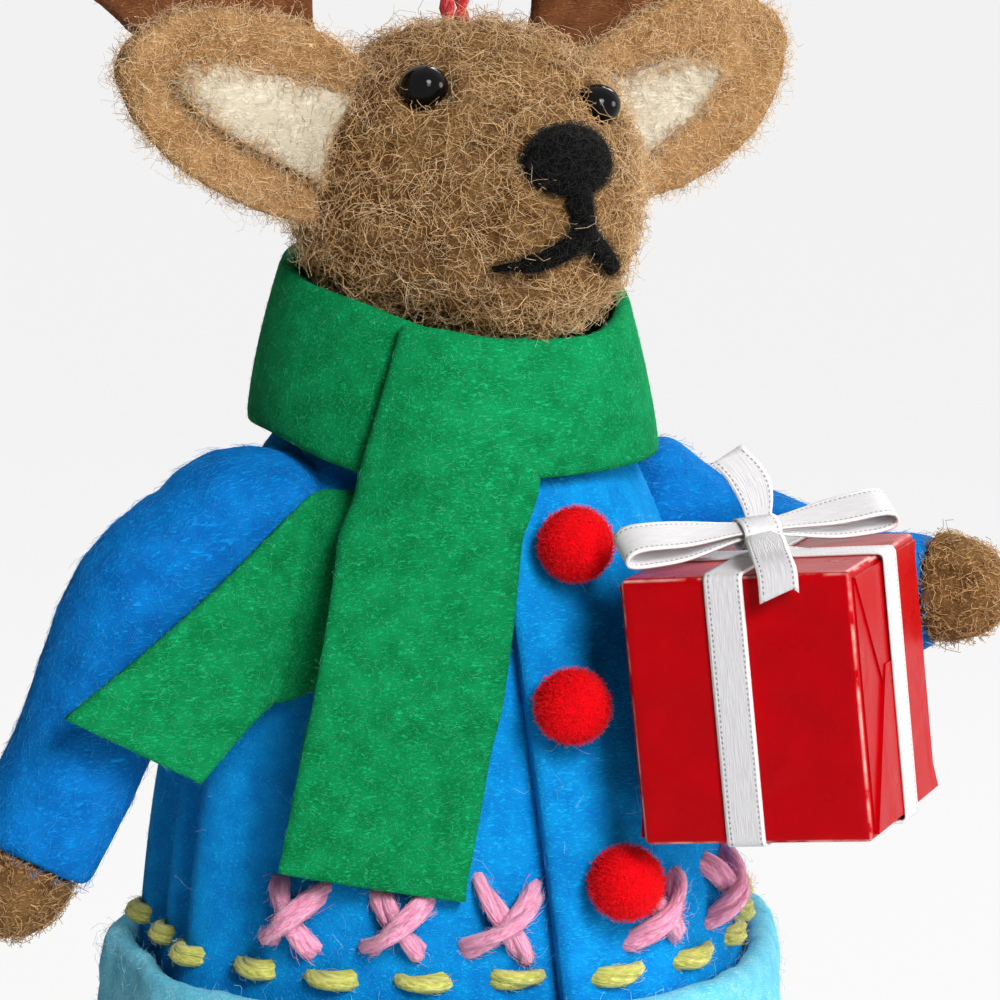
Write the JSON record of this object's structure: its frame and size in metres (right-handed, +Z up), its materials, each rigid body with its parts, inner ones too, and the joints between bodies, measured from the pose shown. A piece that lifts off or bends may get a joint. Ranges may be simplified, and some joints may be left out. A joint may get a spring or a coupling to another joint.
{
  "type": "felt christmas ornament",
  "caption": "Hanging stuffed-wool reindeer ornament in a felt coat, scarf and hem cuff, holding a ribboned gift; arms and scarf tails lift, and the figure swings and turns on its twine loop.",
  "frame": {"origin": "inner top of the twine loop, where a hook or twig carries the ornament", "axes": "+Z up along the hanging twine, -Y towards the side the coat opens on, +X towards the figure's own left hand"},
  "size_m": [0.087, 0.0791, 0.1728],
  "materials": {
    "brown_wool": "matte",
    "cream_wool": "matte",
    "black_wool": "matte",
    "black_bead": "gloss",
    "antler_felt": "matte",
    "hoof_wool": "matte",
    "blue_felt": "matte",
    "blue_wool": "matte",
    "pale_blue_wool": "matte",
    "stuffing": "matte",
    "green_felt": "matte",
    "red_wool": "matte",
    "red_paper": "gloss",
    "light_board": "matte",
    "satin": "satin",
    "pink_yarn": "matte",
    "lime_yarn": "matte",
    "red_twine": "matte"
  },
  "bodies": {
    "twine": {"hanging_loop": "red_twine"},
    "knot": {"crown_knot": "red_twine"},
    "figure": {"head": "brown_wool", "right_ear": "brown_wool", "left_ear": "brown_wool", "right_inner_ear": "cream_wool", "left_inner_ear": "cream_wool", "right_eye": "black_bead", "left_eye": "black_bead", "nose": "black_wool", "mouth": "black_wool", "right_antler": "antler_felt", "left_antler": "antler_felt", "body_core": "stuffing", "coat": "blue_felt", "base_felt": "blue_felt", "hem_cuff": "pale_blue_wool", "right_leg": "brown_wool", "left_leg": "brown_wool", "right_foot_hoof": "hoof_wool", "left_foot_hoof": "hoof_wool", "scarf_collar": "green_felt", "scarf_crossing": "green_felt", "scarf_tuck": "green_felt", "top_button": "red_wool", "middle_button": "red_wool", "bottom_button": "red_wool", "cross_stitch_1": "pink_yarn", "cross_stitch_2": "pink_yarn", "cross_stitch_3": "pink_yarn", "cross_stitch_4": "pink_yarn", "cross_stitch_5": "pink_yarn", "running_stitch_1": "lime_yarn", "running_stitch_2": "lime_yarn", "running_stitch_3": "lime_yarn", "running_stitch_4": "lime_yarn", "running_stitch_5": "lime_yarn", "running_stitch_6": "lime_yarn", "running_stitch_7": "lime_yarn", "running_stitch_8": "lime_yarn", "running_stitch_9": "lime_yarn", "running_stitch_10": "lime_yarn", "running_stitch_11": "lime_yarn"},
    "right_arm": {"right_sleeve": "blue_wool", "right_hand_hoof": "brown_wool"},
    "left_arm": {"left_sleeve": "blue_wool", "left_hand_hoof": "brown_wool", "gift_block": "light_board", "gift_paper": "red_paper", "gift_right_end": "red_paper", "gift_left_end": "red_paper", "gift_front_ribbon": "satin", "gift_side_ribbon": "satin", "bow_knot": "satin", "bow_left_loop": "satin", "bow_right_loop": "satin", "bow_upper_tail": "satin", "bow_lower_tail": "satin"},
    "front_tail": {"scarf_front_tail": "green_felt"},
    "side_tail": {"scarf_side_tail": "green_felt"}
  },
  "joints": [
    {"name": "hang_turn", "type": "hinge", "parent": "twine", "child": "knot", "pos_m": [0, 0, -0.06145], "axis": [0, 0, 1], "continuous": true},
    {"name": "hang_swing", "type": "hinge", "parent": "knot", "child": "figure", "pos_m": [0, 0, -0.06145], "axis": [1, 0, 0], "range_deg": [-20, 20]},
    {"name": "right_arm_lift", "type": "hinge", "parent": "figure", "child": "right_arm", "pos_m": [-0.021, -0.0004, -0.10631], "axis": [0, 1, 0], "range_deg": [-3, 40]},
    {"name": "left_arm_lift", "type": "hinge", "parent": "figure", "child": "left_arm", "pos_m": [0.021, -0.0004, -0.10631], "axis": [-0.9237, -0.3831, 0], "range_deg": [0, 25]},
    {"name": "front_tail_lift", "type": "hinge", "parent": "figure", "child": "front_tail", "pos_m": [-0.01092, -0.01642, -0.10161], "axis": [-0.8746, 0.4848, 0], "range_deg": [0, 50]},
    {"name": "side_tail_lift", "type": "hinge", "parent": "figure", "child": "side_tail", "pos_m": [-0.01958, -0.00826, -0.10876], "axis": [0.311, 0.162, 0.9365], "range_deg": [0, 45]}
  ]
}
